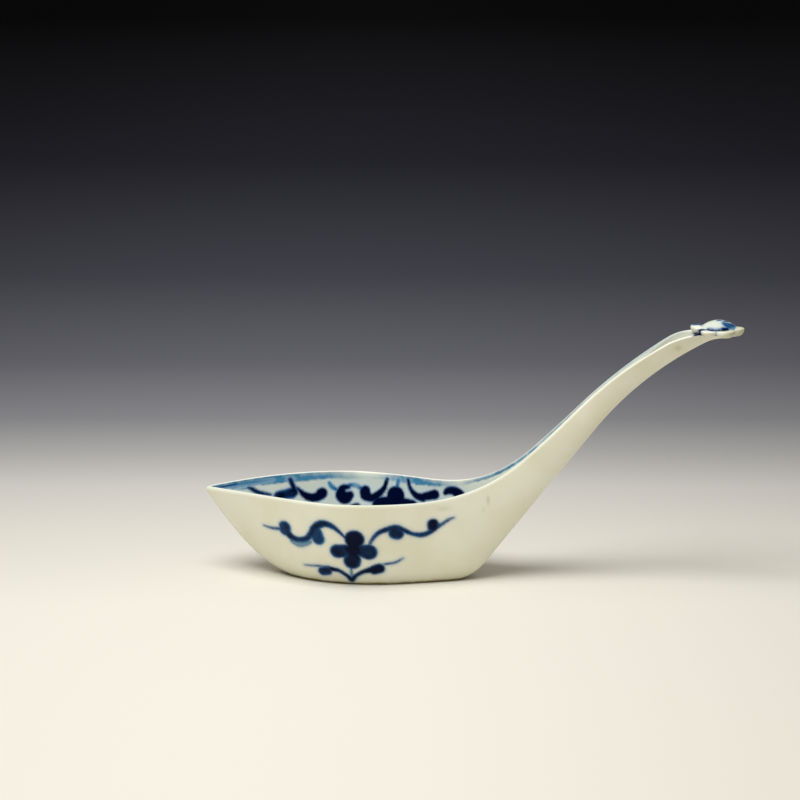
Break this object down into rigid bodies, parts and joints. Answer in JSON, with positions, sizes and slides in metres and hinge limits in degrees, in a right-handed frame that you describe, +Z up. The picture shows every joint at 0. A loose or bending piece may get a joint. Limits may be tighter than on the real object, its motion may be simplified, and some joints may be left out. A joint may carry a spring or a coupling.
{
  "type": "pierced spoon",
  "caption": "Glazed porcelain rice spoon: boat-shaped bowl with a pointed lip, flat base and pierced well to lift and drain food, and a rising channelled handle with a flower on its end.",
  "frame": {"origin": "middle of the underside of the spoon's box, on the surface it stands on", "axes": "+X from the pointed lip towards the handle's end, +Y across the bowl, +Z up"},
  "size_m": [0.1396, 0.0466, 0.0689],
  "materials": {
    "bowl_porcelain": "clear glaze over cream porcelain with underglaze blue painting",
    "handle_porcelain": "clear glaze over cream porcelain with a blue line in the channel",
    "petal_porcelain": "clear glaze over cream porcelain relief, blue in the hollows",
    "heart_cobalt": "clear glaze over porcelain dabbed with underglaze blue"
  },
  "bodies": {
    "root": {"bowl": "bowl_porcelain", "handle": "handle_porcelain", "terminal_flower": "petal_porcelain", "flower_centre": "heart_cobalt"}
  },
  "joints": []
}
